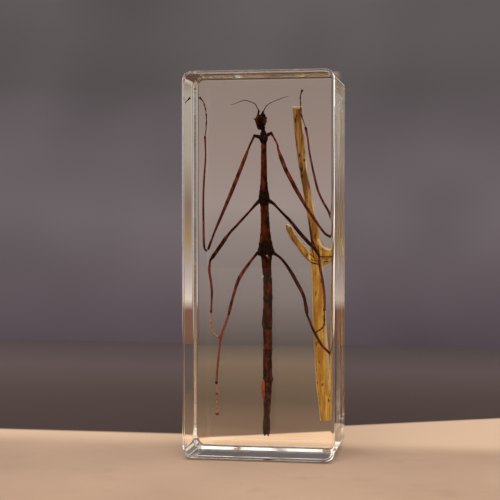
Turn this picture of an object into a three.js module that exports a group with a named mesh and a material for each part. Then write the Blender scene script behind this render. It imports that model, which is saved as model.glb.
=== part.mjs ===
// A clear cast-resin block, the kind that seals a dried insect and stands on its short end.
// Millimetres, +Z up. The origin is the centre of the underside, and the large front face
// looks along -Y. The block is one solid casting with no seam, hole or hollow.
// What is sealed inside is enclosed on every side by this solid, so it is no body of its own.

import * as THREE from 'three';

// Driving dimensions
const WIDTH = 44;           // left to right, along X
const THICKNESS = 30;       // front face to back face, along Y
const HEIGHT = 111;         // underside to top, along Z
const EDGE_ROUND = 1.2;     // polished round on the rims of the front and back faces
const CORNER_ROUND = 2.9;   // round on the four edges that run from front to back

// How finely the round edges are faceted
const CORNER_STEPS = 8;
const EDGE_STEPS = 5;

const RESIN = new THREE.MeshStandardMaterial({
  name: 'clear_resin',
  color: 0xe9e4da,
  roughness: 0.04,
  metalness: 0,
  transparent: true,
  opacity: 0.35,
});

/** A rectangle centred on the origin with its four corners rounded. */
function roundedRectangle(width, height, radius) {
  const right = width / 2;
  const top = height / 2;
  const outline = new THREE.Shape();
  outline.moveTo(right, radius - top);
  outline.absarc(right - radius, top - radius, radius, 0, Math.PI / 2);
  outline.absarc(radius - right, top - radius, radius, Math.PI / 2, Math.PI);
  outline.absarc(radius - right, radius - top, radius, Math.PI, 1.5 * Math.PI);
  outline.absarc(right - radius, radius - top, radius, 1.5 * Math.PI, 2 * Math.PI);
  return outline;
}

/**
 * The casting: a rounded rectangle extruded from front to back. Its bevel is a quarter round,
 * so it turns the rims of the two large faces and leaves the middle of every side flat.
 */
function resinBlock() {
  const outline = roundedRectangle(
    WIDTH - 2 * EDGE_ROUND,
    HEIGHT - 2 * EDGE_ROUND,
    CORNER_ROUND - EDGE_ROUND,
  );
  const geometry = new THREE.ExtrudeGeometry(outline, {
    depth: THICKNESS - 2 * EDGE_ROUND,
    bevelEnabled: true,
    bevelThickness: EDGE_ROUND,
    bevelSize: EDGE_ROUND,
    bevelSegments: EDGE_STEPS,
    curveSegments: CORNER_STEPS,
  });
  const block = new THREE.Mesh(geometry, RESIN);
  block.name = 'resin_block';
  // The outline stands up in the XZ plane, and the extrusion runs towards the front.
  block.rotation.x = Math.PI / 2;
  block.position.set(0, THICKNESS / 2 - EDGE_ROUND, HEIGHT / 2);
  return block;
}

const part = new THREE.Group();
part.add(resinBlock());

export default part;
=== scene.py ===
"""A clear resin block with a dried stick insect and a forked twig sealed inside it.

Places and sizes are in millimetres in the block's own frame: X to the right, Y away from the
viewer, Z up, with the origin at the centre of the underside. Meshes are written in metres.
"""
from math import atan2, cos, exp, hypot, pi, radians, sin

import bpy
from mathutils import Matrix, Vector, noise


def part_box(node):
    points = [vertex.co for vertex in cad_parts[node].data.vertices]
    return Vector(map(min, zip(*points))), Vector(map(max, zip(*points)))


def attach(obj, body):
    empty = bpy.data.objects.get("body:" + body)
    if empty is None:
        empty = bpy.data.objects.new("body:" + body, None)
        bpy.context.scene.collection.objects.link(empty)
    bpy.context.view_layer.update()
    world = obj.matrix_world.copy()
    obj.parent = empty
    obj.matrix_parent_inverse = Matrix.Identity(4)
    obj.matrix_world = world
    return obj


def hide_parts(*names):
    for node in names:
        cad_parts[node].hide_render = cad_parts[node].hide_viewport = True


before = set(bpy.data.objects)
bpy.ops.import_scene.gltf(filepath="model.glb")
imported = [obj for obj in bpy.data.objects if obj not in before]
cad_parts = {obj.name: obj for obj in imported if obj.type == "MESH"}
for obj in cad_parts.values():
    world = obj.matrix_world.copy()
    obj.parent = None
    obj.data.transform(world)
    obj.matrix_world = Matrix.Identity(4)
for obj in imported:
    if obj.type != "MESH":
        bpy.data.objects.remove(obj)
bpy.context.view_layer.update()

MM = 0.001
noise.seed_set(11)      # without it noise_vector is seeded by the clock and differs each run

# ---------------------------------------------------------------- the casting
BLOCK_LOW, BLOCK_HIGH = (Vector(corner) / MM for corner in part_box("resin_block"))
WIDTH = BLOCK_HIGH.x - BLOCK_LOW.x
THICKNESS = BLOCK_HIGH.y - BLOCK_LOW.y
HEIGHT = BLOCK_HIGH.z - BLOCK_LOW.z
EDGE_ROUND = 1.2        # polished round on the rims of the front and back faces
CORNER_ROUND = 2.9      # round on the four edges that run from front to back
CORNER_STEPS = 24
EDGE_STEPS = 14
RESIN_IOR = 1.5
RESIN_TINT = (1.0, 0.93, 0.80)
RESIN_DENSITY = 5.0     # how strongly the tint is taken up, per metre

TWIG_Y = 11.0           # the twig lies behind the insect, whose body is at 7.5

CUTICLE = "insect_cuticle"
LEGS = "insect_legs"


# ================================================================ mesh helpers
def ease(low, high, value):
    t = min(1.0, max(0.0, (value - low) / (high - low)))
    return t * t * (3 - 2 * t)


def noise_at(x, y, z):
    return noise.noise(Vector((x, y, z)))


def profile(stops, t):
    """A value that eases between (position, value) stops."""
    if t <= stops[0][0]:
        return stops[0][1]
    for (t0, v0), (t1, v1) in zip(stops, stops[1:]):
        if t <= t1:
            return v0 + (v1 - v0) * ease(t0, t1, t)
    return stops[-1][1]


def spline_path(points, step):
    """A smooth path through the points, with a sample about every step along it."""
    points = [Vector(p) for p in points]
    ends = [2 * points[0] - points[1]] + points + [2 * points[-1] - points[-2]]
    path = []
    for a, b, c, d in zip(ends, ends[1:], ends[2:], ends[3:]):
        count = max(2, round((c - b).length / step))
        for i in range(count):
            t = i / count
            path.append(0.5 * (2 * b + (c - a) * t + (2 * a - 5 * b + 4 * c - d) * t * t
                               + (3 * b - a - 3 * c + d) * t ** 3))
    path.append(points[-1])
    return path


FRONT = Vector((0, -1, 0))
CAP_RINGS = 3           # rings in each rounded end of a loft


class Skin:
    """Collects closed surfaces, and a number at each vertex that the materials read."""

    def __init__(self):
        self.verts = []
        self.faces = []
        self.tones = []

    def loft(self, points, radii, sides=14, step=0.2, section=None, flat=1.0, tone=0.0,
             cap=0.7):
        """A closed round form along a smooth path.

        radii are (fraction, radius) stops. section(angle, along) scales the radius, where
        angle 0 looks to the front and along is in millimetres. flat squeezes the form from
        front to back. cap is the length of the rounded ends, in radii. tone is a number, or
        a function of the fraction and the angle.
        """
        path = spline_path(points, step)
        lengths = [0.0]
        for a, b in zip(path, path[1:]):
            lengths.append(lengths[-1] + (b - a).length)
        total = lengths[-1]
        rings = []
        for i, centre in enumerate(path):
            ahead = path[min(i + 1, len(path) - 1)] - path[max(i - 1, 0)]
            along = ahead.normalized()
            front = (FRONT - along * FRONT.dot(along)).normalized()
            rings.append((centre, along, front, along.cross(front), lengths[i]))
        cap_rings = CAP_RINGS if cap else 0
        turns = [(k + 0.5) / (cap_rings + 0.5) * pi / 2 for k in range(cap_rings)]
        shaped = [(rings[0], -cap * cos(turn), sin(turn)) for turn in turns]
        shaped += [(ring, 0.0, 1.0) for ring in rings]
        shaped += [(rings[-1], cap * cos(turn), sin(turn)) for turn in reversed(turns)]
        first = len(self.verts)
        for (centre, along, front, side, at), shift, shrink in shaped:
            radius = profile(radii, at / total)
            for j in range(sides):
                angle = 2 * pi * j / sides
                size = radius * shrink * (section(angle, at) if section else 1.0)
                self.verts.append(centre + along * shift * radius
                                  + front * cos(angle) * size * flat
                                  + side * sin(angle) * size)
                self.tones.append(tone(at / total, angle) if callable(tone) else tone)
        for ring in range(len(shaped) - 1):
            for j in range(sides):
                a = first + ring * sides + j
                b = first + ring * sides + (j + 1) % sides
                self.faces.append((a, b, b + sides, a + sides))
        last = first + (len(shaped) - 1) * sides
        self.faces.append(tuple(reversed(range(first, first + sides))))
        self.faces.append(tuple(range(last, last + sides)))

    def ball(self, centre, size, tone=0.0, rings=10, sides=16):
        """A closed ellipsoid with half sizes size."""
        first = len(self.verts)
        centre = Vector(centre)
        for i in range(1, rings):
            polar = pi * i / rings
            for j in range(sides):
                turn = 2 * pi * j / sides
                self.verts.append(centre + Vector((
                    size[0] * sin(polar) * cos(turn),
                    size[1] * sin(polar) * sin(turn),
                    size[2] * cos(polar))))
                self.tones.append(tone)
        for i in range(rings - 2):
            for j in range(sides):
                a = first + i * sides + j
                b = first + i * sides + (j + 1) % sides
                self.faces.append((a + sides, b + sides, b, a))
        last = first + (rings - 2) * sides
        self.faces.append(tuple(range(first, first + sides)))
        self.faces.append(tuple(reversed(range(last, last + sides))))

    def roughen(self, amount, scale):
        """Moves each vertex a little, so no surface stays perfectly even."""
        for i, v in enumerate(self.verts):
            self.verts[i] = v + noise.noise_vector(v * scale) * amount

    def to_object(self, name):
        mesh = bpy.data.meshes.new(name)
        mesh.from_pydata([v * MM for v in self.verts], [], self.faces)
        mesh.validate()
        store_tones(mesh, self.tones)
        mesh.shade_smooth()
        return place_mesh(mesh)

    def finish(self, name, material, slot):
        finish_piece(self.to_object(name), material)


def place_mesh(mesh):
    piece = bpy.data.objects.new(mesh.name, mesh)
    bpy.context.collection.objects.link(piece)
    return piece


def store_tones(mesh, tones):
    layer = mesh.attributes.new("tone", "FLOAT", "POINT")
    layer.data.foreach_set("value", tones)


def finish_piece(piece, material):
    piece.data.materials.clear()
    piece.data.materials.append(material)
    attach(piece, "root")


def lofted_piece(name, material, slot, path, radii, rough=None, **shape):
    """A piece that is one loft, roughened by an amount and a scale."""
    skin = Skin()
    skin.loft(path, radii, **shape)
    if rough:
        skin.roughen(*rough)
    skin.finish(name, material, slot)


# ================================================================ node helpers
class Graph:
    """A short way to write a node tree. An input is a number, a colour, a vector or the
    output of another node."""

    def make(self, kind, output, inputs, **settings):
        """One output of a new node."""
        node = self.tree.nodes.new("ShaderNode" + kind)
        for name, value in settings.items():
            setattr(node, name, value)
        for name, value in inputs.items():
            self.feed(node.inputs[name], value)
        return node.outputs[output]

    def feed(self, socket, value):
        if isinstance(value, bpy.types.NodeSocket):
            self.tree.links.new(value, socket)
        elif socket.type == "RGBA":
            socket.default_value = (*value, 1)
        else:
            socket.default_value = value

    def noise(self, scale, detail=3.0, where=None, roughness=0.55):
        return self.make("TexNoise", "Fac", {"Scale": scale, "Detail": detail,
                         "Roughness": roughness, "Vector": where or self.place})

    def part(self, axis):
        return self.make("SeparateXYZ", axis, {"Vector": self.place})

    def span(self, value, low, high, out_low=0.0, out_high=1.0, kind="SMOOTHSTEP"):
        return self.make("MapRange", "Result", {"Value": value, "From Min": low, "From Max": high,
                         "To Min": out_low, "To Max": out_high}, interpolation_type=kind)

    def math(self, operation, a, b=0.0):
        return self.make("Math", 0, {0: a, 1: b}, operation=operation)

    def mix(self, factor, a, b):
        return self.make("Mix", 2, {"Factor": factor, 6: a, 7: b}, data_type="RGBA")

    def ramp(self, value, stops):
        """A colour that changes along (value, colour) stops, lowest value first."""
        low = stops[0][0]
        high = stops[-1][0]
        node = self.tree.nodes.new("ShaderNodeValToRGB")
        elements = node.color_ramp.elements
        for i, (at, colour) in enumerate(stops):
            position = (at - low) / (high - low)
            if 0 < i < len(stops) - 1:
                element = elements.new(position)
            else:
                element = elements[0 if i == 0 else len(elements) - 1]
            element.position = position
            element.color = (*colour, 1)
        self.feed(node.inputs["Fac"], self.span(value, low, high, kind="LINEAR"))
        return node.outputs["Color"]


class Nodes(Graph):
    """A material's node tree."""

    def __init__(self, name):
        self.material = bpy.data.materials.new(name)
        self.material.use_nodes = True
        self.tree = self.material.node_tree
        self.shader = self.tree.nodes["Principled BSDF"].inputs
        self.place = self.make("TexCoord", "Object", {})

    def stretched(self, x, y, z):
        return self.make("Mapping", "Vector", {"Vector": self.place, "Scale": (x, y, z)})

    def grains(self, scale):
        return self.make("TexVoronoi", "Distance", {"Scale": scale, "Vector": self.place})

    def tone(self):
        return self.make("Attribute", "Fac", {}, attribute_name="tone")

    def bump(self, height, strength, distance, below=None):
        inputs = {"Height": height, "Strength": strength, "Distance": distance * MM}
        if below:
            inputs["Normal"] = below
        return self.make("Bump", "Normal", inputs)

    def finish(self, colour, roughness, normal, specular=0.5):
        for name, value in (("Base Color", colour), ("Roughness", roughness),
                            ("Normal", normal), ("Specular IOR Level", specular)):
            self.feed(self.shader[name], value)
        return self.material


# ================================================================ materials
def resin_material():
    """Clear, faintly warm resin: plain transmission, IOR and absorption."""
    n = Nodes("clear_resin")
    n.shader["Base Color"].default_value = (1, 1, 1, 1)
    n.shader["Transmission Weight"].default_value = 1.0
    n.shader["IOR"].default_value = RESIN_IOR
    n.feed(n.shader["Roughness"], n.span(n.noise(60), 0.45, 0.75, 0.0, 0.012))
    absorb = n.make("VolumeAbsorption", "Volume", {"Color": RESIN_TINT, "Density": RESIN_DENSITY})
    n.feed(n.tree.nodes["Material Output"].inputs["Volume"], absorb)
    return n.material


def cuticle_material(name, dark, red, pale, grain=2600):
    """Dried insect skin. The tone at each vertex goes from dark joints, at 1, to plain skin,
    at 0, and to bleached skin, at -1."""
    n = Nodes(name)
    long_marks = n.noise(900, 5, n.stretched(1, 1, 0.45))
    blotches = n.span(n.math("ADD", long_marks, n.math("MULTIPLY", n.tone(), -0.35)),
                      0.28, 0.62)
    colour = n.mix(blotches, dark, red)
    bleached = n.span(n.tone(), -0.15, -0.9)
    colour = n.mix(bleached, colour, pale)
    specks = n.span(n.noise(3800, 2), 0.60, 0.72)
    colour = n.mix(n.math("MULTIPLY", specks, 0.5), colour, dark)
    pits = n.grains(grain)
    normal = n.bump(n.noise(1500, 4), 0.5, 0.06)
    normal = n.bump(pits, 0.45, 0.05, normal)
    return n.finish(colour, n.span(n.noise(1200), 0.3, 0.7, 0.38, 0.62), normal, 0.04)


def bark_material():
    """Dry straw-coloured stem: fibres, brown flecks, pale papery edges, a painted highlight down its
    right side, and painted shade on its left side.
    """
    n = Nodes("dry_stem")
    upper = n.span(n.part("Z"), 52 * MM, 74 * MM)
    fibres = n.noise(2400, 3, n.stretched(1, 1, 0.07))
    bands = n.noise(520, 4, n.stretched(1, 1, 0.16), 0.65)
    deep = n.mix(upper, (0.60, 0.250, 0.022), (0.24, 0.100, 0.024))
    light = n.mix(upper, (1.00, 0.610, 0.130), (0.66, 0.37, 0.11))
    colour = n.mix(n.span(bands, 0.38, 0.62), deep, light)
    colour = n.mix(n.span(fibres, 0.42, 0.66, 0.0, 0.55), colour, deep)
    flecks = n.span(n.noise(800, 2, n.stretched(1, 1, 0.4)), 0.62, 0.70)
    colour = n.mix(n.math("MULTIPLY", flecks, 0.8), colour, (0.090, 0.030, 0.010))
    # pale cream where the tone is high: papery rims and cut ends, and painted highlights on the stem's
    # right side and the side twig's top
    pale = n.span(n.tone(), 0.15, 0.95)
    colour = n.mix(n.math("MULTIPLY", pale, 0.9), colour, (1.00, 0.80, 0.46))
    # dark where the tone is low: in cracks, and as painted shade on the stem's left side
    shaded = n.span(n.tone(), -0.1, -0.9)
    colour = n.mix(n.math("MULTIPLY", shaded, 0.95), colour, (0.085, 0.022, 0.008))
    normal = n.bump(fibres, 0.6, 0.12)
    normal = n.bump(n.noise(3500, 3), 0.3, 0.04, normal)
    return n.finish(colour, n.span(bands, 0.3, 0.7, 0.55, 0.8), normal, 0.04)


def eye_material():
    n = Nodes("eye")
    facets = n.grains(9000)
    colour = n.mix(n.span(facets, 0.1, 0.6), (0.060, 0.020, 0.010), (0.012, 0.006, 0.004))
    return n.finish(colour, n.span(facets, 0.0, 1.0, 0.2, 0.35), n.bump(facets, 0.5, 0.03), 0.3)


def flake_material():
    n = Nodes("pale_flakes")
    colour = n.mix(n.noise(4000), (0.75, 0.66, 0.56), (0.90, 0.84, 0.76))
    return n.finish(colour, n.span(n.noise(3000), 0.3, 0.7, 0.5, 0.8),
                    n.bump(n.noise(6000), 0.4, 0.03))


# ================================================================ the resin casting
def outline_point(corner, step):
    """Centre of a corner's round, and the direction from it, on the front outline."""
    side, up = ((1, 1), (-1, 1), (-1, -1), (1, -1))[corner]
    turn = pi / 2 * (corner + step / CORNER_STEPS)
    return (side * (WIDTH / 2 - CORNER_ROUND), HEIGHT / 2 + up * (HEIGHT / 2 - CORNER_ROUND),
            cos(turn), sin(turn))


def rim_profile():
    """From the front rim's flat edge round to the side, and on to the back: for each step
    the depth, the distance in from the side, and the surface's direction there."""
    steps = []
    for end in (-1, 1):
        for i in range(EDGE_STEPS + 1):
            part = i if end < 0 else EDGE_STEPS - i
            turn = pi / 2 * part / EDGE_STEPS
            depth = end * (THICKNESS / 2 - EDGE_ROUND + EDGE_ROUND * cos(turn))
            inset = EDGE_ROUND * (sin(turn) - 1)
            steps.append((depth, inset, end * cos(turn), sin(turn)))
    return steps


def resin_casting():
    outline = [outline_point(c, i) for c in range(4) for i in range(CORNER_STEPS + 1)]
    verts = []
    normals = []
    for depth, inset, normal_y, normal_out in rim_profile():
        for x, z, across, up in outline:
            reach = CORNER_ROUND + inset
            verts.append(Vector((x + reach * across, depth, z + reach * up)) * MM)
            normals.append((normal_out * across, normal_y, normal_out * up))
    count = len(outline)
    faces = []
    for start in range(0, len(verts) - count, count):
        for i in range(count):
            j = (i + 1) % count
            faces.append((start + j, start + i, start + count + i, start + count + j))
    faces.append(tuple(range(count)))
    faces.append(tuple(reversed(range(len(verts) - count, len(verts)))))
    mesh = bpy.data.meshes.new("resin_casting")
    mesh.from_pydata(verts, [], faces)
    mesh.update()
    mesh.shade_smooth()
    mesh.normals_split_custom_set_from_vertices(normals)
    piece = place_mesh(mesh)
    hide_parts("resin_block")
    finish_piece(piece, resin_material())


# ================================================================ the insect's body
def head(skin_material, eye_finish):
    skin = Skin()
    skin.loft([(-1.40, 7.6, 95.15), (-1.42, 7.5, 95.9), (-1.30, 7.3, 97.2), (-1.35, 7.1, 98.2),
               (-1.35, 7.0, 99.0)],
              [(0, 0.92), (0.12, 1.18), (0.45, 1.60), (0.76, 1.80), (0.90, 1.52), (1, 1.15)],
              sides=30, step=0.12, flat=0.74, cap=0.3,
              section=lambda a, s: 1 + 0.05 * cos(2 * a) + 0.035 * cos(5 * a)
              + 0.02 * sin(7 * s + 3 * a),
              tone=lambda t, a: 0.75 - 0.5 * ease(0.1, 0.5, t) + 0.35 * cos(5 * a))
    # the brow peak, which carries the right antenna
    skin.loft([(-0.62, 7.1, 98.1), (-0.72, 6.9, 99.1), (-0.90, 6.8, 100.35)],
              [(0, 1.0), (0.42, 0.78), (1, 0.10)], sides=16, step=0.1, tone=0.9)
    # the left antenna's root
    skin.loft([(-2.15, 7.1, 98.6), (-2.10, 6.9, 99.5), (-1.85, 6.8, 100.4)],
              [(0, 0.5), (0.45, 0.3), (0.7, 0.27), (0.9, 0.33), (1, 0.25)], sides=12, step=0.1,
              tone=lambda t, a: 0.1 + 0.8 * t)
    # a small horn on the left cheek, and a blunt one on the right
    skin.loft([(-2.6, 7.1, 97.7), (-3.1, 7.0, 98.0), (-3.55, 6.9, 98.2)],
              [(0, 0.5), (0.5, 0.24), (1, 0.06)], sides=10, step=0.08, tone=1.0)
    skin.loft([(0.0, 7.1, 97.9), (0.25, 7.0, 98.2), (0.42, 6.9, 98.45)],
              [(0, 0.45), (0.6, 0.28), (1, 0.12)], sides=10, step=0.08, tone=1.0)
    # jaws and two feelers under the brow
    for side in (-1, 1):
        skin.loft([(-1.25 + 0.35 * side, 7.5, 98.6), (-1.25 + 0.5 * side, 7.9, 99.0),
                   (-1.25 + 0.2 * side, 8.2, 99.3)],
                  [(0, 0.3), (0.6, 0.22), (1, 0.08)], sides=10, step=0.08, tone=1.0)
        skin.loft([(-1.25 + 0.8 * side, 7.8, 98.0), (-1.25 + 1.05 * side, 8.4, 98.5),
                   (-1.25 + 0.95 * side, 8.9, 98.9), (-1.25 + 0.6 * side, 9.1, 99.2)],
                  [(0, 0.14), (0.3, 0.1), (0.6, 0.13), (1, 0.07)], sides=8, step=0.08, tone=0.3)
    # the neck
    skin.loft([(-0.62, 7.6, 93.9), (-0.62, 7.6, 94.6), (-0.75, 7.6, 95.5)],
              [(0, 0.62), (0.5, 0.5), (1, 0.7)], sides=16, step=0.1,
              section=lambda a, s: 1 + 0.05 * sin(14 * s), tone=1.0)
    skin.roughen(0.05, 2.2)
    skin.finish("head", skin_material, CUTICLE)
    eyes = Skin()
    for x, z in ((-2.62, 97.45), (0.10, 97.30)):
        eyes.ball((x, 6.85, z), (0.40, 0.42, 0.55), rings=14, sides=20)
    eyes.finish("eyes", eye_finish, CUTICLE)


BEAD = 0.42             # length of one bead of an antenna


def antenna(name, points, material):
    """A thread of short beads that thins to its tip."""
    lofted_piece(name, material, LEGS, points, [(0, 0.21), (0.08, 0.15), (0.5, 0.115), (1, 0.07)],
                 sides=8, step=0.07, section=lambda a, s: 1 + 0.16 * cos(2 * pi * s / BEAD),
                 tone=lambda t, a: 0.4 - 0.7 * t)


def keeled(keel=0.05, ribs=0.02, pitch=1.3):
    """A section with a back keel and side folds, and faint rings along it."""
    def section(angle, along):
        return (1 + keel * max(0, cos(angle)) ** 8 + 0.03 * cos(2 * angle)
                + ribs * sin(2 * pi * along / pitch + 2 * sin(angle)))
    return section


def thorax(material):
    """The three stretches of the thorax, each a little wider where its legs join."""
    lofted_piece(
        "prothorax", material, CUTICLE,
        [(-0.70, 7.5, 94.7), (-0.62, 7.5, 93.6), (-0.55, 7.5, 92.4), (-0.50, 7.5, 90.9)],
        [(0, 0.62), (0.25, 0.98), (0.42, 1.02), (0.62, 1.36), (0.78, 1.22), (0.92, 0.92), (1, 0.85)],
        (0.07, 2.6), sides=30, step=0.12, flat=0.72, section=keeled(0.06, 0.04, 0.7), tone=1.0)
    lofted_piece(
        "mesothorax", material, CUTICLE,
        [(-0.50, 7.5, 91.2), (-0.50, 7.5, 88.9), (-0.48, 7.5, 84.0), (-0.46, 7.5, 78.7),
         (-0.42, 7.5, 76.0), (-0.34, 7.5, 73.3)],
        [(0, 0.82), (0.10, 0.86), (0.40, 0.93), (0.60, 1.02), (0.76, 1.26), (0.84, 1.52),
         (0.92, 1.74), (1, 1.48)],
        (0.06, 1.9), sides=30, step=0.14, flat=0.80, section=keeled(0.07, 0.025, 1.6),
        # lower tone, so lighter and redder skin, on the left side: a painted highlight
        tone=lambda t, a: (0.1 - 0.35 * sin(a) + 0.9 * ease(0.66, 0.88, t)
                           + 0.6 * ease(0.08, 0.0, t)))
    lofted_piece(
        "metathorax", material, CUTICLE,
        [(-0.34, 7.5, 73.9), (-0.28, 7.5, 72.2), (-0.10, 7.5, 67.8), (0.02, 7.5, 62.5),
         (0.12, 7.5, 59.7), (0.25, 7.5, 57.7)],
        [(0, 1.45), (0.10, 1.26), (0.30, 1.30), (0.52, 1.45), (0.66, 1.74), (0.80, 2.16),
         (0.92, 2.66), (0.97, 2.55), (1, 1.7)],
        (0.06, 1.9), sides=32, step=0.14, flat=0.60, section=keeled(0.08, 0.025, 1.4), cap=0.25,
        # lower tone, so lighter and redder skin, on the left side: a painted highlight
        tone=lambda t, a: (0.2 - 0.3 * sin(a) + 0.75 * ease(0.66, 0.9, t)
                           + 0.6 * ease(0.12, 0.0, t)))


# Heights of the abdomen's joints, from the thorax to the tail
ABDOMEN_JOINTS = (57.6, 51.9, 44.8, 36.5, 30.0, 20.9, 17.6, 13.8, 10.2, 6.6)
ABDOMEN_TOP = 58.0
ABDOMEN_END = 5.3


def abdomen_radius(height):
    return profile([(-58.0, 1.62), (-56.2, 1.40), (-54.0, 1.29), (-52.4, 1.24), (-51.0, 1.27),
                    (-45.2, 1.28), (-43.0, 1.26), (-39.8, 1.40), (-37.4, 1.42), (-36.2, 1.27),
                    (-30.0, 1.27), (-25.0, 1.30), (-22.0, 1.31), (-20.6, 1.24), (-18.6, 1.12),
                    (-15.0, 1.08), (-13.0, 1.00), (-11.2, 0.90), (-10.2, 0.86), (-9.6, 1.00),
                    (-6.4, 1.02), (-5.3, 0.96)], -height)


# How dark the rings are, from the thorax to the tail
RING_TONES = (0.35, 0.20, 0.30, 0.18, 0.30, 0.30, 0.28, 0.35, 0.42)


def ring_tone(height):
    return RING_TONES[sum(1 for joint in ABDOMEN_JOINTS[1:-1] if height < joint)]


# Swellings and dents: on the insect's left (1) or right (-1), height, size and spread
ABDOMEN_BUMPS = ((1, 38.4, 0.13, 1.3), (-1, 21.4, 0.22, 0.6), (-1, 27.7, -0.12, 0.8),
                 (1, 51.9, -0.20, 0.4), (-1, 10.5, -0.14, 0.5))


def joint_distance(height):
    """How far a height is below the joint above it, and above the joint below it."""
    above = min((j - height for j in ABDOMEN_JOINTS if j >= height), default=9.0)
    below = min((height - j for j in ABDOMEN_JOINTS if j < height), default=9.0)
    return above, below


def abdomen(material):
    """Nine rings of skin, each with a raised rear margin that overlaps the next."""
    length = ABDOMEN_TOP - ABDOMEN_END

    def section(angle, along):
        height = ABDOMEN_TOP - along
        above, below = joint_distance(height + 0.2 * sin(2 * angle + height))
        margin = 0.06 * ease(1.1, 0.1, below) - 0.07 * ease(0.45, 0.0, above)
        keel = 0.07 * max(0, cos(angle)) ** 10
        fold = 0.05 * abs(sin(angle)) ** 6
        pinch = -0.05 * max(0, cos(2 * angle - 0.8)) ** 4
        bump = 0
        for side, at, size, spread in ABDOMEN_BUMPS:
            bump += (size * max(0, side * sin(angle)) ** 3
                     * exp(-((height - at) / spread) ** 2))
        wrinkle = 0.016 * sin(9 * angle + 0.8 * sin(along * 0.9))
        crumple = 0.07 * noise_at(2 * cos(angle), 2 * sin(angle), height * 0.8)
        return 1 + margin + keel + fold + pinch + bump + wrinkle + crumple

    def tone(t, angle):
        height = ABDOMEN_TOP - t * length
        above, below = joint_distance(height + 0.25 * sin(3 * angle + height))
        joint = ease(0.42, 0.05, min(above, below))
        blotch = noise_at(1.6 * cos(angle), 1.6 * sin(angle), height * 0.65)
        return ring_tone(height) + 0.5 * joint + 0.34 * blotch

    skin = Skin()
    path = [(0.30, 7.5, ABDOMEN_TOP), (0.42, 7.5, 54), (0.68, 7.5, 50), (0.72, 7.6, 45),
            (0.58, 7.6, 38), (0.72, 7.6, 33), (0.66, 7.6, 26), (0.70, 7.6, 20),
            (0.52, 7.6, 14), (0.38, 7.6, 9.5), (0.32, 7.6, ABDOMEN_END)]
    count = 110
    stops = [(i / count, abdomen_radius(ABDOMEN_TOP - length * i / count))
             for i in range(count + 1)]
    skin.loft(path, stops, sides=40, step=0.12, flat=0.86, section=section, tone=tone, cap=0.25)
    skin.roughen(0.06, 1.7)
    skin.roughen(0.025, 5.0)
    skin.finish("abdomen", material, CUTICLE)


def tail(material, flap_material):
    """Two cerci at the end, and the reddish blade that stands off the left side above them."""
    skin = Skin()
    for side in (-1, 1):
        skin.loft([(0.35 + 0.4 * side, 7.6, 6.0), (0.35 + 0.52 * side, 7.5, 5.3),
                   (0.35 + 0.5 * side, 7.4, 4.75)],
                  [(0, 0.40), (0.5, 0.36), (1, 0.2)], sides=12, step=0.08, tone=0.8)
    skin.roughen(0.02, 3)
    skin.finish("cerci", material, CUTICLE)
    lofted_piece("tail_blade", flap_material, LEGS,
                 [(-0.50, 6.7, 21.2), (-0.62, 6.45, 19.6), (-0.58, 6.35, 17.2), (-0.32, 6.4, 15.0)],
                 [(0, 0.30), (0.25, 0.58), (0.7, 0.56), (1, 0.12)], (0.03, 2.5), sides=16,
                 step=0.12, flat=0.35, tone=lambda t, a: -0.3 + 0.3 * t)


# ================================================================ the insect's legs
def ribbed(ridges, height, teeth=0.0, pitch=0.72, edge=0.0):
    """A ridged section, with small teeth along the ridge at the angle edge."""
    def section(angle, along):
        ridge = height * abs(cos(ridges * (angle - edge) / 2)) ** 3
        tooth = teeth * max(0, cos(angle - edge)) ** 10
        saw = (along / pitch) % 1
        return 1 + ridge + tooth * (1 - saw) ** 1.5
    return section


def joint_tone(plain, near=0.06):
    """Dark at both ends of a segment, plain between them."""
    def tone(t, angle):
        return plain + (0.95 - plain) * (ease(near, 0, t) + ease(1 - near, 1, t))
    return tone


# Where the five segments of a foot meet, as fractions of its length
FOOT_BREAKS = (0.0, 0.38, 0.56, 0.70, 0.82, 1.0)


def tarsus(skin, points, radius, plain, claw):
    """Five short segments that widen to their pads, then a pair of claws."""
    path = spline_path(points, 0.05)
    for start, end in zip(FOOT_BREAKS, FOOT_BREAKS[1:]):
        first = int(start * (len(path) - 1))
        last = int(end * (len(path) - 1))
        part = [path[first + (last - first) * k // 4] for k in range(5)]
        skin.loft(part, [(0, radius * 0.66), (0.6, radius * 0.8), (0.9, radius * 1.25),
                         (1, radius * 0.9)], sides=10, step=0.1, cap=0.5,
                  tone=lambda t, a: plain + 0.35 * ease(0.7, 1, t))
    tip = path[-1]
    ahead = (path[-1] - path[-5]).normalized()
    across = ahead.cross(FRONT).normalized()
    skin.ball(tip + ahead * 0.1, (radius * 1.5, radius * 1.2, radius * 1.5), plain + 0.7)
    for side in (-1, 1):
        root = tip + across * side * radius * 0.5
        skin.loft([root, root + ahead * claw * 0.55 + across * side * claw * 0.25,
                   root + ahead * claw + across * side * claw * 0.05 + Vector((0, 0.12, 0))],
                  [(0, radius * 0.7), (0.5, radius * 0.45), (1, 0.04)], sides=8, step=0.06,
                  tone=1.0)


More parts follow.
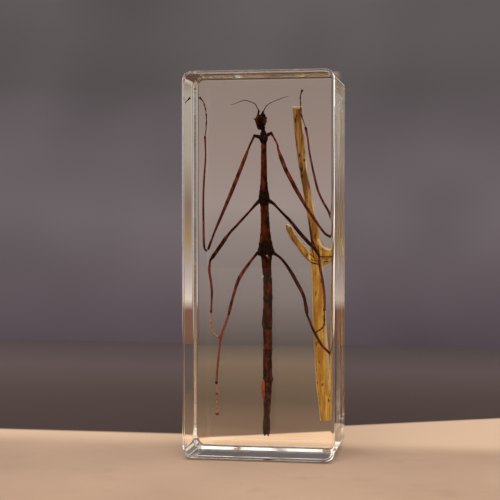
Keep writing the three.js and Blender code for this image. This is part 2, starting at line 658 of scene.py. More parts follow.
def leg(name, material, coxa, femur, femur_size, tibia, tibia_size, foot, foot_size=0.24,
        teeth=0.0, edge=0.0, femur_tone=0.15, tibia_tone=0.05, foot_tone=0.2, claw=0.9):
    """One leg: hip, thigh, knee, shin and foot. Each is a list of places along it, and the
    foot goes on from the shin's last one."""
    skin = Skin()
    skin.loft(coxa, [(0, 0.72), (0.45, 0.56), (0.85, 0.46), (1, 0.36)], sides=16, step=0.1,
              section=ribbed(3, 0.08), tone=1.0)
    skin.loft(femur, femur_size, sides=18, step=0.11,
              section=ribbed(5, 0.16, teeth, edge=edge), tone=joint_tone(femur_tone, 0.05))
    knee = Vector(tibia[0])
    size = femur_size[-1][1] * 1.12
    skin.ball(knee, (size, size * 0.9, size), 1.0)
    skin.loft(tibia, tibia_size, sides=14, step=0.13,
              section=ribbed(4, 0.16, teeth * 0.4, 1.1, edge), tone=joint_tone(tibia_tone, 0.03))
    tarsus(skin, [tibia[-1]] + foot, foot_size, foot_tone, claw)
    skin.roughen(0.03, 1.6)
    skin.finish(name, material, LEGS)


# Each leg's places from hip to foot, and its sizes as (fraction, radius) stops
LEG_SHAPES = {
    "foreleg_left": dict(
        coxa=[(-0.9, 7.4, 92.4), (-2.1, 7.3, 92.9), (-3.4, 7.3, 93.15)],
        femur=[(-3.2, 7.3, 93.3), (-4.1, 7.2, 91.4), (-5.0, 7.1, 89.4), (-7.6, 7.0, 82.7),
            (-10.9, 7.0, 74.7), (-13.3, 7.1, 69.2), (-15.2, 7.3, 64.8), (-17.2, 7.8, 59.7)],
        femur_size=[(0, 0.34), (0.06, 0.27), (0.12, 0.29), (0.20, 0.47), (0.45, 0.50), (0.72, 0.38),
            (0.90, 0.26), (0.96, 0.33), (1, 0.3)],
        tibia=[(-17.8, 8.0, 59.3), (-18.5, 8.2, 60.6), (-18.8, 8.9, 68.0), (-18.9, 9.5, 75.3),
            (-18.7, 10.0, 81.3), (-18.4, 10.5, 86.0), (-18.4, 10.8, 89.0), (-18.6, 11.0, 93.2)],
        tibia_size=[(0, 0.22), (0.05, 0.31), (0.5, 0.28), (0.9, 0.22), (1, 0.3)],
        foot=[(-18.3, 11.5, 95.8), (-18.3, 12.0, 99.7), (-18.9, 12.6, 102.5), (-19.4, 13.0, 103.7),
            (-20.3, 13.4, 104.7)],
        foot_size=0.2, teeth=0.34, edge=1.2, tibia_tone=0.2, claw=0.7),
    "foreleg_right": dict(
        coxa=[(-0.4, 7.4, 92.6), (0.6, 7.3, 93.3), (1.7, 7.3, 93.9)],
        femur=[(1.6, 7.3, 94.0), (3.0, 7.3, 91.6), (3.6, 7.2, 90.2), (4.0, 7.1, 88.4), (5.8, 6.9, 83.6),
            (7.5, 6.8, 80.3), (9.2, 6.7, 77.1), (11.9, 6.5, 72.5), (13.6, 6.5, 70.0), (15.7, 6.5, 66.9),
            (17.6, 6.5, 64.5), (19.4, 6.6, 63.4), (20.2, 6.7, 63.3)],
        femur_size=[(0, 0.34), (0.05, 0.24), (0.14, 0.24), (0.22, 0.50), (0.45, 0.52), (0.72, 0.38),
            (0.90, 0.28), (0.96, 0.34), (1, 0.3)],
        tibia=[(20.4, 6.8, 63.6), (20.2, 6.9, 65.5), (19.3, 7.1, 69.2), (18.6, 7.2, 71.0),
            (17.1, 7.4, 73.6), (15.6, 7.6, 76.8), (14.6, 7.8, 80.5), (13.7, 8.0, 84.5),
            (12.9, 8.2, 88.6), (12.4, 8.4, 92.5), (11.8, 8.5, 95.4)],
        tibia_size=[(0, 0.22), (0.05, 0.32), (0.5, 0.28), (0.9, 0.22), (1, 0.3)],
        foot=[(11.0, 8.7, 97.7), (10.5, 8.8, 99.3), (10.2, 9.2, 103.0), (10.2, 9.5, 105.0),
            (10.6, 9.8, 106.2)],
        foot_size=0.2, teeth=0.42, edge=-1.4, claw=0.6),
    "midleg_left": dict(
        coxa=[(-1.0, 7.4, 74.6), (-2.2, 7.3, 73.6), (-3.2, 7.3, 72.6)],
        femur=[(-3.0, 7.3, 72.8), (-5.6, 7.2, 69.9), (-8.4, 7.2, 66.9), (-10.9, 7.2, 64.2),
            (-13.2, 7.3, 61.0), (-15.2, 7.4, 58.2), (-16.5, 7.5, 56.5)],
        femur_size=[(0, 0.36), (0.08, 0.3), (0.5, 0.34), (0.58, 0.36), (0.64, 0.52), (0.85, 0.46),
            (0.93, 0.50), (1, 0.3)],
        tibia=[(-16.6, 7.5, 56.2), (-16.9, 8.0, 53.4), (-16.4, 8.4, 49.6), (-16.2, 8.6, 46.5),
            (-16.5, 9.0, 41.0)],
        tibia_size=[(0, 0.28), (0.1, 0.36), (0.5, 0.32), (0.9, 0.26), (1, 0.32)],
        foot=[(-16.6, 9.4, 37.6), (-16.5, 9.6, 36.0), (-15.9, 9.8, 34.8), (-14.9, 10.0, 33.8),
            (-14.2, 10.0, 33.5)],
        foot_size=0.30, teeth=0.25, edge=1.3, femur_tone=0.5, tibia_tone=-0.15, foot_tone=-0.75,
        claw=0.5),
    "midleg_right": dict(
        coxa=[(0.4, 7.4, 74.4), (1.6, 7.3, 73.7), (2.7, 7.3, 73.0)],
        femur=[(2.5, 7.3, 73.1), (5.0, 7.0, 70.5), (7.6, 6.5, 67.9), (10.1, 6.2, 64.8),
            (13.2, 6.0, 61.4), (14.5, 6.0, 60.1), (15.9, 6.0, 58.1)],
        femur_size=[(0, 0.36), (0.1, 0.3), (0.4, 0.44), (0.7, 0.48), (0.9, 0.34), (1, 0.32)],
        tibia=[(16.0, 6.0, 57.7), (16.1, 6.0, 55.5), (16.6, 6.0, 52.9), (17.2, 6.2, 49.6),
            (17.6, 6.5, 45.5), (17.5, 6.8, 42.0)],
        tibia_size=[(0, 0.28), (0.1, 0.34), (0.5, 0.32), (0.9, 0.28), (1, 0.32)],
        foot=[(17.5, 7.0, 39.4), (17.5, 7.1, 38.0), (16.8, 7.2, 36.8), (15.8, 7.3, 36.0),
            (14.7, 7.4, 35.3)],
        foot_size=0.24, teeth=0.25, edge=-1.3, femur_tone=0.55, tibia_tone=0.0, foot_tone=0.5,
        claw=0.5),
    "hindleg_left": dict(
        coxa=[(-1.0, 7.5, 59.0), (-2.0, 7.4, 58.8), (-2.8, 7.4, 58.3)],
        femur=[(-2.5, 7.4, 58.5), (-4.9, 7.4, 55.5), (-7.9, 7.4, 50.9), (-9.7, 7.5, 45.5),
            (-10.9, 7.6, 40.9)],
        femur_size=[(0, 0.36), (0.1, 0.36), (0.4, 0.46), (0.8, 0.38), (0.94, 0.44), (1, 0.34)],
        tibia=[(-11.0, 7.6, 40.5), (-12.2, 7.8, 37.0), (-13.4, 8.0, 33.4), (-14.0, 8.3, 29.0),
            (-14.5, 8.5, 24.7), (-14.9, 9.0, 19.8)],
        tibia_size=[(0, 0.26), (0.1, 0.34), (0.5, 0.30), (0.9, 0.26), (1, 0.34)],
        foot=[(-14.8, 9.3, 16.5), (-14.8, 9.5, 14.5), (-14.8, 9.8, 12.0), (-14.8, 10.0, 10.8)],
        foot_size=0.34, teeth=0.2, edge=1.3, femur_tone=0.05, tibia_tone=-0.3, foot_tone=-0.6,
        claw=0.6),
    "hindleg_right": dict(
        coxa=[(1.2, 7.5, 59.0), (2.4, 7.4, 58.6), (3.4, 7.4, 58.1)],
        femur=[(3.1, 7.4, 58.2), (4.4, 7.2, 57.3), (5.8, 7.0, 55.8), (7.8, 6.7, 52.9), (9.5, 6.5, 49.9),
            (11.3, 6.5, 46.4), (12.0, 6.5, 43.5), (12.4, 6.5, 40.9)],
        femur_size=[(0, 0.36), (0.12, 0.34), (0.45, 0.48), (0.8, 0.42), (0.95, 0.5), (1, 0.36)],
        tibia=[(12.5, 6.5, 40.5), (13.6, 6.7, 37.8), (14.7, 6.8, 35.3), (16.5, 7.1, 32.1),
            (18.1, 7.5, 30.3), (19.3, 7.9, 29.0), (20.2, 8.3, 27.4)],
        tibia_size=[(0, 0.26), (0.1, 0.36), (0.5, 0.34), (0.85, 0.32), (1, 0.36)],
        foot=[(20.7, 8.6, 25.2), (20.8, 8.9, 23.0), (20.6, 9.1, 21.2), (20.3, 9.3, 20.0)],
        foot_size=0.2, teeth=0.2, edge=-1.3, femur_tone=0.6, tibia_tone=0.2, claw=0.5),
}


def legs(material):
    for name, shape in LEG_SHAPES.items():
        leg(name, material, **shape)


ANTENNA_LEFT = [(-1.8, 6.8, 100.3), (-2.4, 6.8, 101.3), (-2.9, 6.8, 102.3), (-3.7, 6.9, 102.8),
                (-4.7, 7.0, 103.2), (-6.2, 7.1, 103.6), (-7.6, 7.2, 103.2), (-8.8, 7.3, 102.7),
                (-10.2, 7.4, 102.4)]
ANTENNA_RIGHT = [(-0.6, 6.8, 99.9), (-0.3, 6.8, 100.7), (0.2, 6.8, 101.6), (0.8, 6.8, 102.2),
                 (1.8, 6.9, 102.8), (3.2, 7.0, 103.4), (4.3, 7.1, 103.8), (5.2, 7.2, 104.2),
                 (6.9, 7.3, 104.6)]


def pale_flakes(material):
    """Crumbs of dried skin on the waist and on the first ring of the abdomen."""
    skin = Skin()
    for x, y, z, size in ((0.55, 6.1, 57.9, 0.26), (0.9, 6.15, 57.5, 0.14),
                          (-0.9, 6.5, 51.6, 0.17), (-0.6, 6.35, 51.9, 0.11)):
        skin.ball((x, y, z), (size, size * 0.6, size * 0.7), rings=8, sides=12)
    skin.roughen(0.10, 4)
    skin.finish("pale_flakes", material, CUTICLE)


# ================================================================ the twig
# Height, centre and width of the stem, from its cut top down to its cut foot
STEM = ((101.6, 9.1, 2.7), (98.4, 9.3, 2.7), (93.5, 9.7, 2.75), (89.8, 10.05, 2.6),
        (86.5, 10.4, 2.5), (82.3, 11.05, 2.35), (78.0, 11.8, 2.3), (75.0, 12.35, 2.3),
        (71.3, 12.95, 2.5), (67.8, 13.65, 2.55), (64.0, 14.35, 2.85), (61.5, 14.7, 3.1),
        (57.4, 14.75, 3.6), (55.6, 14.8, 3.55), (52.8, 15.0, 3.35), (49.0, 15.35, 3.5),
        (44.5, 15.5, 3.8), (37.4, 15.85, 4.0), (30.9, 16.2, 4.15), (24.2, 16.7, 4.35),
        (19.7, 17.0, 4.4), (15.3, 17.5, 4.35), (9.4, 18.15, 4.2))
STEM_TOP = STEM[0][0]
STEM_END = STEM[-1][0]
TWIG_VOXEL = 0.13
RELAX_ROUNDS = 5


def stem_at(height):
    """Centre and half width of the stem at a height."""
    height = min(STEM_TOP, max(STEM_END, height))
    for (z0, x0, w0), (z1, x1, w1) in zip(STEM, STEM[1:]):
        if height >= z1:
            t = (height - z1) / (z0 - z1)
            return x1 + (x0 - x1) * t, (w1 + (w0 - w1) * t) / 2
    return STEM[-1][1], STEM[-1][2] / 2


def voxel_skin(piece, size):
    """One continuous skin over overlapping forms, with its creases relaxed."""
    remesh = piece.modifiers.new("skin", "REMESH")
    remesh.mode = "VOXEL"
    remesh.voxel_size = size * MM
    relax = piece.modifiers.new("relax", "SMOOTH")
    relax.iterations = RELAX_ROUNDS
    relax.factor = 0.5
    graph = bpy.context.evaluated_depsgraph_get()
    mesh = bpy.data.meshes.new_from_object(piece.evaluated_get(graph))
    mesh.name = piece.name
    piece.modifiers.clear()
    old = piece.data
    piece.data = mesh
    bpy.data.meshes.remove(old)


def twig_forms():
    skin = Skin()
    length = STEM_TOP - STEM_END
    radii = [((STEM_TOP - z) / length, w / 2) for z, x, w in STEM]
    skin.loft([(x, TWIG_Y, z) for z, x, w in STEM], radii, sides=32, step=0.4, cap=0)
    # the side twig that points up and to the left, and its torn tip
    skin.loft([(14.6, TWIG_Y, 56.3), (12.2, TWIG_Y, 58.1), (10.1, TWIG_Y, 60.7),
               (7.9, TWIG_Y, 63.6), (6.1, TWIG_Y, 66.9)],
              [(0, 1.35), (0.3, 1.15), (0.7, 1.02), (0.93, 0.85), (1, 0.5)],
              sides=24, step=0.3, cap=0.4)
    # the broken stub on the right, and the webs of bark above and below it
    skin.loft([(14.8, TWIG_Y, 58.0), (17.0, TWIG_Y, 58.15), (19.0, TWIG_Y, 58.2),
               (20.5, TWIG_Y, 58.4)],
              [(0, 1.5), (0.4, 1.3), (0.75, 1.2), (1, 1.25)], sides=24, step=0.3, cap=0)
    for points, size in (([(14.9, 64.0), (15.8, 61.6), (17.0, 59.9), (18.9, 59.2)], 0.85),
                         ([(15.4, 51.6), (16.1, 53.8), (17.0, 55.5), (18.8, 56.7)], 0.7)):
        skin.loft([(x, TWIG_Y, z) for x, z in points],
                  [(0, size * 0.9), (0.5, size), (1, size * 0.8)], sides=16, step=0.25, cap=0.5)
    return skin


def groove(place, start, end, width):
    """How close a place is to a crack that runs from start to end, seen from the front."""
    ax, az = start
    bx, bz = end
    t = ((place.x - ax) * (bx - ax) + (place.z - az) * (bz - az)) / (
        (bx - ax) ** 2 + (bz - az) ** 2)
    t = min(1, max(0, t))
    gap = hypot(place.x - ax - t * (bx - ax), place.z - az - t * (bz - az))
    return ease(width, width * 0.3, gap)


# Pits and dark buds on the bark: place across, height, half width and half height
BUDS = ((8.5, 97.6, 0.34, 0.95), (8.85, 98.9, 0.22, 0.5), (9.75, 87.3, 0.30, 0.55),
        (11.3, 85.9, 0.28, 0.50), (10.45, 83.2, 0.42, 0.80), (10.6, 81.2, 0.26, 0.6),
        (14.9, 24.0, 0.20, 0.45), (15.2, 20.5, 0.18, 0.35), (15.35, 17.2, 0.2, 0.5))


# Pale rims of the webs round the stub
RIMS = (((15.5, 62.6), (16.3, 60.9), 0.55), ((16.3, 60.9), (17.5, 59.9), 0.62),
        ((17.5, 59.9), (20.5, 59.5), 0.62), ((16.5, 52.4), (16.9, 54.1), 0.45),
        ((16.9, 54.1), (18.0, 55.2), 0.45), ((18.0, 55.2), (20.5, 56.1), 0.45))


def bud(place):
    return max(ease(1.25, 0.6, hypot((place.x - x) / wide, (place.z - z) / tall))
               for x, z, wide, tall in BUDS)


# Cracks and seams of the bark round the node
CRACKS = (((12.9, 55.9), (14.4, 55.5), 0.30), ((14.2, 55.7), (16.0, 55.2), 0.24),
          ((15.8, 57.6), (20.6, 57.4), 0.26), ((15.4, 60.8), (16.1, 55.2), 0.34),
          ((13.4, 62.8), (15.5, 58.7), 0.30), ((13.0, 58.4), (14.6, 56.9), 0.20),
          ((13.1, 56.7), (15.5, 56.3), 0.16), ((13.6, 59.9), (14.2, 57.4), 0.20),
          ((16.4, 50.0), (16.3, 55.0), 0.22), ((16.6, 56.3), (18.4, 56.0), 0.16))


def pale_rims_and_highlights(place, normal, offset, on_stem):
    """The pale rims of the bark: papery on the stem's sides and the stub's webs, with a painted
    highlight down the stem's right side and on the side twig's upper side.
    """
    streak = 0.55 + 0.9 * noise_at(7.0, 0.0, place.z * 0.16)
    # a painted highlight, streaked, down the stem's right side
    right = ease(0.50, 0.92, offset) * streak
    left = 0.9 * ease(-0.80, -0.97, offset)
    low = ease(0.05, 0.75, offset) * ease(33, 26, place.z) * ease(14, 19, place.z)
    edge = on_stem * max(right, left, 0.45 * low)
    web = max(groove(place, a, b, w) for a, b, w in RIMS)
    # a painted highlight on the upper side of the side twig
    side_twig_highlight = (1 - on_stem) * ease(0.2, 0.7, normal.z) if offset < 0 else 0.0
    return max(edge, web, side_twig_highlight)


def carve_bark(mesh):
    """Fibres, swellings and cracks, moved into the mesh. Returns a tone for each vertex:
    1 on pale papery edges, cut ends and painted highlights, -0.85 where shade is painted on the stem's
    left side, -1 in cracks."""
    tones = []
    moved = []
    skin = [(v.co / MM, v.normal.copy()) for v in mesh.vertices]
    for place, normal in skin:
        centre, half = stem_at(place.z)
        offset = (place.x - centre) / half
        around = atan2(offset, (TWIG_Y - place.y) / half)
        bend = noise_at(0, 0, place.z * 0.12) * 1.5
        fibre = sin(17 * around + bend) * 0.3
        fibre += noise_at(place.x * 3.2, place.y * 3.2, place.z * 0.22)
        lump = noise.noise(Vector((place.x * 0.45, place.y * 0.45, place.z * 0.16)) + normal)
        shift = 0.055 * fibre + 0.11 * lump
        crack = 0.0
        if place.y <= TWIG_Y:
            crack = max(bud(place), *(groove(place, a, b, w) for a, b, w in CRACKS))
        shift -= 0.24 * crack
        end_face = 1.0 if abs(normal.z) > 0.85 and (
            place.z > STEM_TOP - 0.7 or place.z < STEM_END + 0.7) else 0.0
        cut = ease(STEM_TOP - 1.0, STEM_TOP - 0.4, place.z)
        shift += 0.25 * ease(STEM_TOP - 1.1, STEM_TOP - 0.1, place.z) * (1 - end_face)
        on_stem = 1.0 - ease(1.02, 1.25, abs(offset))
        tone = max(end_face, 0.9 * cut, pale_rims_and_highlights(place, normal, offset, on_stem))
        ragged = 0.5 + noise.noise(Vector((place.x, place.y, place.z * 0.35)) * 1.3)
        # painted shade down the stem's left side, over two stretches of its height
        shaded = ease(-0.1, -0.8, offset) * on_stem * (
            ease(72, 66, place.z) * ease(58.5, 61.0, place.z)
            + 0.55 * ease(72, 78, place.z) * ease(99, 95, place.z) * ragged)
        tone = tone * (1 - shaded) - 0.85 * shaded
        tone = tone * (1 - crack) - crack
        tones.append(tone)
        moved.extend((place + normal * shift * (0.2 if end_face else 1.0)) * MM)
    mesh.vertices.foreach_set("co", moved)
    mesh.update()
    return tones


def twig(material):
    piece = twig_forms().to_object("twig")
    voxel_skin(piece, TWIG_VOXEL)
    store_tones(piece.data, carve_bark(piece.data))
    piece.data.shade_smooth()
    finish_piece(piece, material)


# ================================================================ stage, light and camera
FLOOR_DROP = 0.2        # keeps the floor just clear of the resin's underside
FLOOR_REACH = 1500.0    # how far the floor goes to the sides and to the front
FLOOR_BACK = 340.0      # where the floor meets the backdrop
PALE_EDGE = 44.0        # how far behind the block's middle the pale part of the floor reaches
PALE_NEAREST = 28.0     # and how far it reaches at the left
PALE_SLOPE = 0.5
CONTACT_DEPTH = 14.9    # the line of contact along the front of the underside, where a shadow is painted on the floor
# where the floor's tones start to change and where they have changed, by the depth
PALE_RIM = (-1.5 * MM, 3 * MM)
# a painted glow of light on the paper just behind the block
PAINTED_GLOW_BAND = (2 * MM, 26 * MM)
FRONT_FALL = (-70 * MM, -220 * MM)
# a brighter painted pool of light where the lane meets the paper
LIT_BAND = (14 * MM, 30 * MM)
# the painted contact shadow's soft edges, across its line and at its ends
CONTACT_SHADOW_BLUR = (1.9 * MM, 0.3 * MM)
CONTACT_SHADOW_ENDS = (22.5 * MM, 19.5 * MM)
# a lane of painted light on the floor behind the block: its middle leans left, and it widens
LANE_MIDDLE = -0.71
LANE_LEAN = -0.1593
LANE_HALF = 22.08
LANE_SPREAD = 0.0569


def floor_material():
    """Pale and warm round the block, and darker behind it and far in front, with painted light on the
    floor behind the block and a painted shadow along its front.
    """
    n = Nodes("floor")
    across = n.part("X")
    depth = n.part("Y")
    lean = n.math("MULTIPLY", across, PALE_SLOPE)
    rim = n.math("MAXIMUM", n.math("ADD", lean, PALE_EDGE * MM), PALE_NEAREST * MM)
    dark = n.span(n.math("SUBTRACT", depth, rim), *PALE_RIM)
    mottle = n.noise(9, 4)
    pale = n.mix(n.span(mottle, 0.3, 0.7), (0.35, 0.235, 0.165), (0.47, 0.325, 0.235))
    pale = n.mix(n.span(n.noise(70, 5), 0.52, 0.75, 0.0, 0.22), pale, (0.26, 0.165, 0.115))
    # a painted glow of light on the paper just behind the block
    pale = n.mix(n.span(depth, *PAINTED_GLOW_BAND), pale, (0.58, 0.41, 0.29))
    pale = n.mix(n.span(depth, *FRONT_FALL), pale, (0.15, 0.105, 0.080))
    table = n.ramp(depth, ((0.04, (0.048, 0.031, 0.029)), (0.12, (0.057, 0.039, 0.035)),
                           (0.22, (0.077, 0.055, 0.056)), (0.34, (0.050, 0.036, 0.042))))
    # the lane behind the block is lighter: a painted pool of light on the table
    lit_lane = n.ramp(depth, ((0.04, (0.23, 0.14, 0.085)), (0.06, (0.16, 0.10, 0.06)),
                          (0.12, (0.09, 0.058, 0.035)), (0.20, (0.13, 0.088, 0.055)),
                          (0.25, (0.155, 0.107, 0.073)), (0.34, (0.078, 0.061, 0.052))))
    middle = n.math("ADD", n.math("MULTIPLY", depth, LANE_LEAN), LANE_MIDDLE * MM)
    half = n.math("ADD", n.math("MULTIPLY", depth, LANE_SPREAD), LANE_HALF * MM)
    off = n.math("ABSOLUTE", n.math("SUBTRACT", across, middle))
    in_lane = n.span(n.math("DIVIDE", off, half), 1.05, 0.95)
    table = n.mix(in_lane, table, lit_lane)
    # a brighter painted pool of light where the lane crosses the paper
    lit = n.math("MULTIPLY", in_lane, n.span(depth, *LIT_BAND))
    pale = n.mix(lit, pale, (0.98, 0.67, 0.42))
    colour = n.mix(dark, pale, table)
    # a painted shadow on the floor along the line where the block's front meets it
    near = n.math("ABSOLUTE", n.math("ADD", depth, CONTACT_DEPTH * MM))
    beside = n.math("ABSOLUTE", across)
    shade = n.math("MULTIPLY", n.span(near, *CONTACT_SHADOW_BLUR, 0.0, 0.75),
                   n.span(beside, *CONTACT_SHADOW_ENDS))
    colour = n.mix(shade, colour, (0.09, 0.045, 0.022))
    return n.finish(colour, n.span(mottle, 0, 1, 0.75, 0.9), n.bump(n.noise(900), 0.08, 0.2),
                    0.08)


def build_stage():
    mesh = bpy.data.meshes.new("floor")
    corners = ((-1, -FLOOR_REACH), (1, -FLOOR_REACH), (1, FLOOR_BACK), (-1, FLOOR_BACK))
    mesh.from_pydata([Vector((side * FLOOR_REACH, y, -FLOOR_DROP)) * MM for side, y in corners],
                     [], [(0, 1, 2, 3)])
    mesh.materials.append(floor_material())
    floor = place_mesh(mesh)


# The backdrop's colours by the height of the direction they are seen in
BACKDROP = ((-0.10, (0.08, 0.06, 0.07)), (-0.05, (0.12, 0.095, 0.105)),
            (0.00, (0.145, 0.12, 0.13)), (0.05, (0.145, 0.12, 0.13)),
            (0.10, (0.11, 0.093, 0.095)), (0.13, (0.112, 0.096, 0.098)))
POOL = ((-0.113, (0.07, 0.04, 0.02)), (-0.107, (0.21, 0.14, 0.06)),
        (-0.104, (0.13, 0.09, 0.055)), (-0.095, (0.10, 0.08, 0.07)),
        (-0.060, (0.22, 0.175, 0.165)), (-0.015, (0.29, 0.235, 0.215)),
        (0.010, (0.355, 0.285, 0.26)), (0.056, (0.33, 0.25, 0.22)),
        (0.110, (0.28, 0.22, 0.185)))
RIGHT_SIDE = ((-0.100, (0.11, 0.06, 0.045)), (-0.085, (0.19, 0.09, 0.06)),
              (-0.068, (0.20, 0.09, 0.06)), (-0.060, (0.74, 0.62, 0.52)),
              (-0.043, (0.49, 0.41, 0.38)), (-0.015, (0.35, 0.24, 0.13)),
              (0.011, (0.25, 0.17, 0.125)), (0.047, (0.41, 0.35, 0.28)),
              (0.092, (0.43, 0.375, 0.30)), (0.106, (0.19, 0.155, 0.13)))
FAR_RIGHT = ((-0.10, (0.30, 0.24, 0.20)), (-0.06, (0.62, 0.54, 0.47)),
             (0.12, (0.62, 0.55, 0.49)))
LEFT_SIDE = ((-0.10, (0.28, 0.22, 0.18)), (0.00, (0.42, 0.35, 0.30)),
             (0.12, (0.47, 0.405, 0.355)))
OUTLINE = ((-0.10, (0.16, 0.08, 0.05)), (-0.07, (0.24, 0.14, 0.10)),
           (-0.05, (0.70, 0.62, 0.55)), (0.12, (0.72, 0.65, 0.58)))
FRONT_CLOTH = ((-0.10, (0.02, 0.018, 0.017)), (0.12, (0.025, 0.022, 0.022)))
FRONT_STRIP = ((-0.06, (0.15, 0.115, 0.085)), (0.03, (0.26, 0.21, 0.17)),
               (0.05, (0.38, 0.32, 0.28)), (0.11, (0.42, 0.36, 0.31)))

WHITE = (1.0, 0.97, 0.93)
CREAM = (1.0, 0.95, 0.88)
WARM = (1.0, 0.92, 0.80)


class Sky(Graph):
    """The studio as the block sees it: a backdrop with a pool of light behind the block, and
    soft lights at set directions."""

    def __init__(self):
        world = bpy.data.worlds.new("studio")
        world.use_nodes = True
        bpy.context.scene.world = world
        self.tree = world.node_tree
        direction = self.make("TexCoord", "Generated", {})
        self.place = self.make("VectorMath", "Vector", {0: direction}, operation="NORMALIZE")
        self.across = self.part("X")
        self.height = self.part("Z")
        clouds = self.noise(9.0, 1.0, roughness=0.5)
        shade = self.span(clouds, 0.3, 0.7, 0.84, 1.14, kind="LINEAR")
        self.total = self.scaled(self.ramp(self.height, BACKDROP), shade)

    def scaled(self, vector, level):
        return self.make("VectorMath", "Vector", {0: vector, "Scale": level}, operation="SCALE")

    def dot(self, axis):
        return self.make("VectorMath", "Value", {0: self.place, 1: axis}, operation="DOT_PRODUCT")

    def curtain(self, ahead, middle, half, soft, stops, top=1.0):
        """An upright strip of backdrop behind (ahead 1) or in front of (-1) the block, with
        its own colours by height. middle, half and soft are slopes from the Y axis, and top
        is the height where the strip ends."""
        facing = self.dot((0, ahead, 0))
        slope = self.math("DIVIDE", self.across, facing)
        off = self.math("ABSOLUTE", self.math("SUBTRACT", slope, middle))
        level = self.math("MULTIPLY", self.span(facing, 0.0, 0.05),
                          self.span(off, half + soft, half - soft))
        level = self.math("MULTIPLY", level, self.span(self.height, top + 0.002, top))
        self.total = self.mix(level, self.total, self.ramp(self.height, stops))

    def glow(self, axis, inner, outer, colour, strength):
        """A round soft light: full within inner degrees of the axis, gone at outer."""
        level = self.span(self.dot(Vector(axis).normalized()),
                          cos(radians(outer)), cos(radians(inner)))
        self.add(level, colour, strength)

    def panel(self, axis, half_width, half_height, soft, colour, strength):
        """A soft box facing the block: half sizes and soft edges as tangents of angles."""
        axis = Vector(axis).normalized()
        right = axis.cross(Vector((0, 0, 1))).normalized()
        up = right.cross(axis)
        ahead = self.dot(axis)
        level = self.span(ahead, 0.0, 0.05)
        for direction, half in ((right, half_width), (up, half_height)):
            off = self.math("ABSOLUTE", self.math("DIVIDE", self.dot(direction), ahead))
            level = self.math("MULTIPLY", level, self.span(off, half + soft, half))
        self.add(level, colour, strength)

    def flags(self, low, high, left):
        """Dark flags at both sides that leave only a part of the light between two heights."""
        beside = self.span(self.math("ABSOLUTE", self.across), 0.35, 0.50)
        ring = self.math("MULTIPLY", self.span(self.height, low - 0.04, low),
                         self.span(self.height, high + 0.04, high))
        taken = self.math("MULTIPLY", self.math("MULTIPLY", beside, ring), 1 - left)
        self.total = self.scaled(self.total, self.math("SUBTRACT", 1.0, taken))

    def add(self, level, colour, strength):
        light = self.scaled([c * strength for c in colour], level)
        self.total = self.make("VectorMath", "Vector", {0: self.total, 1: light}, operation="ADD")

    def finish(self):
        self.feed(self.tree.nodes["Background"].inputs["Color"], self.total)


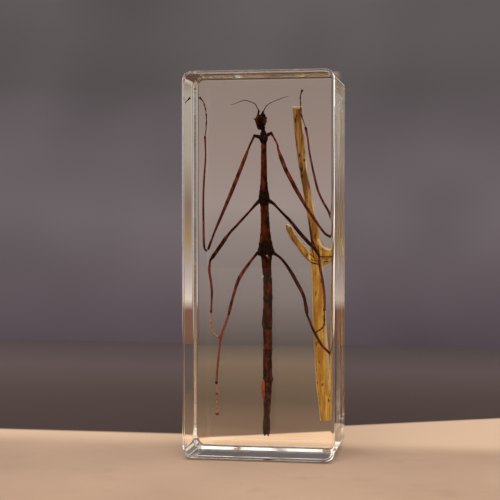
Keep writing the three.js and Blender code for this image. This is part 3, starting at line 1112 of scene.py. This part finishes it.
def build_light():
    sky = Sky()
    sky.curtain(1, -0.1593, 0.0569, 0.003, POOL, 0.1085)
    sky.curtain(1, 0.20, 0.12, 0.04, RIGHT_SIDE)
    sky.curtain(1, 0.85, 0.38, 0.08, FAR_RIGHT)
    # two bright strips that draw the block's left outline
    sky.curtain(1, 0.048, 0.018, 0.004, OUTLINE)
    sky.curtain(1, 0.275, 0.035, 0.015, OUTLINE)
    sky.curtain(1, -0.80, 0.36, 0.05, LEFT_SIDE)
    sky.curtain(-1, -0.170, 0.062, 0.004, FRONT_CLOTH)
    sky.curtain(-1, -0.085, 0.020, 0.003, FRONT_STRIP)
    # soft boxes behind on the left, above the backdrop and at the right, then the two glows:
    # one overhead and one high in front
    sky.panel((-0.74, 0.67, 0.06), 0.20, 0.40, 0.16, WHITE, 0.8)
    sky.panel((-0.70, 0.62, 0.46), 0.24, 0.20, 0.12, WHITE, 1.8)
    sky.panel((-0.306, 0.916, 0.26), 0.04, 0.07, 0.025, WHITE, 0.7)
    sky.panel((1.0, 0.30, 0.30), 0.16, 0.50, 0.12, WARM, 1.0)
    sky.panel((1.0, -0.14, 0.00), 0.16, 0.08, 0.08, WARM, 0.4)
    sky.glow((0.15, -0.1, 1.0), 34, 76, WHITE, 1.05)
    sky.glow((0.0, -1.0, 0.95), 12, 38, CREAM, 2.8)
    sky.flags(0.58, 0.80, 0.35)
    sky.finish()


# The camera stands to the right of the block and looks slightly down at it
FOCAL_PIXELS = 1333.6
FRAME_PIXELS = 500
SENSOR = 36.0
CAMERA_PLACE = (61.1, -387.8, 68.6)
CAMERA_YAW = radians(9.62)
CAMERA_PITCH = radians(1.322)


def build_camera():
    lens = bpy.data.cameras.new("camera")
    lens.sensor_width = SENSOR
    lens.lens = FOCAL_PIXELS * SENSOR / FRAME_PIXELS
    lens.clip_start = 0.01
    camera = bpy.data.objects.new("camera", lens)
    camera.location = Vector(CAMERA_PLACE) * MM
    look = Vector((-sin(CAMERA_YAW) * cos(CAMERA_PITCH),
                   cos(CAMERA_YAW) * cos(CAMERA_PITCH), -sin(CAMERA_PITCH)))
    camera.rotation_euler = look.to_track_quat("-Z", "Y").to_euler()
    bpy.context.collection.objects.link(camera)
    bpy.context.scene.camera = camera


def set_light_paths():
    scene = bpy.context.scene
    scene.view_settings.view_transform = "Standard"
    scene.cycles.max_bounces = 24
    scene.cycles.transmission_bounces = 20
    scene.cycles.glossy_bounces = 16


# ================================================================ everything in its place
def main():
    build_camera()
    build_stage()
    build_light()
    set_light_paths()
    resin_casting()
    body = cuticle_material("cuticle", (0.016, 0.004, 0.001), (0.150, 0.024, 0.004),
                            (0.42, 0.24, 0.13))
    limbs = cuticle_material("leg_cuticle", (0.034, 0.006, 0.003), (0.270, 0.050, 0.022),
                             (0.72, 0.36, 0.20), grain=3400)
    blade = cuticle_material("blade_cuticle", (0.10, 0.020, 0.010), (0.42, 0.10, 0.03),
                             (0.62, 0.28, 0.12), grain=3400)
    head(body, eye_material())
    antenna("antenna_left", ANTENNA_LEFT, limbs)
    antenna("antenna_right", ANTENNA_RIGHT, limbs)
    thorax(body)
    abdomen(body)
    tail(body, blade)
    legs(limbs)
    pale_flakes(flake_material())
    twig(bark_material())


main()
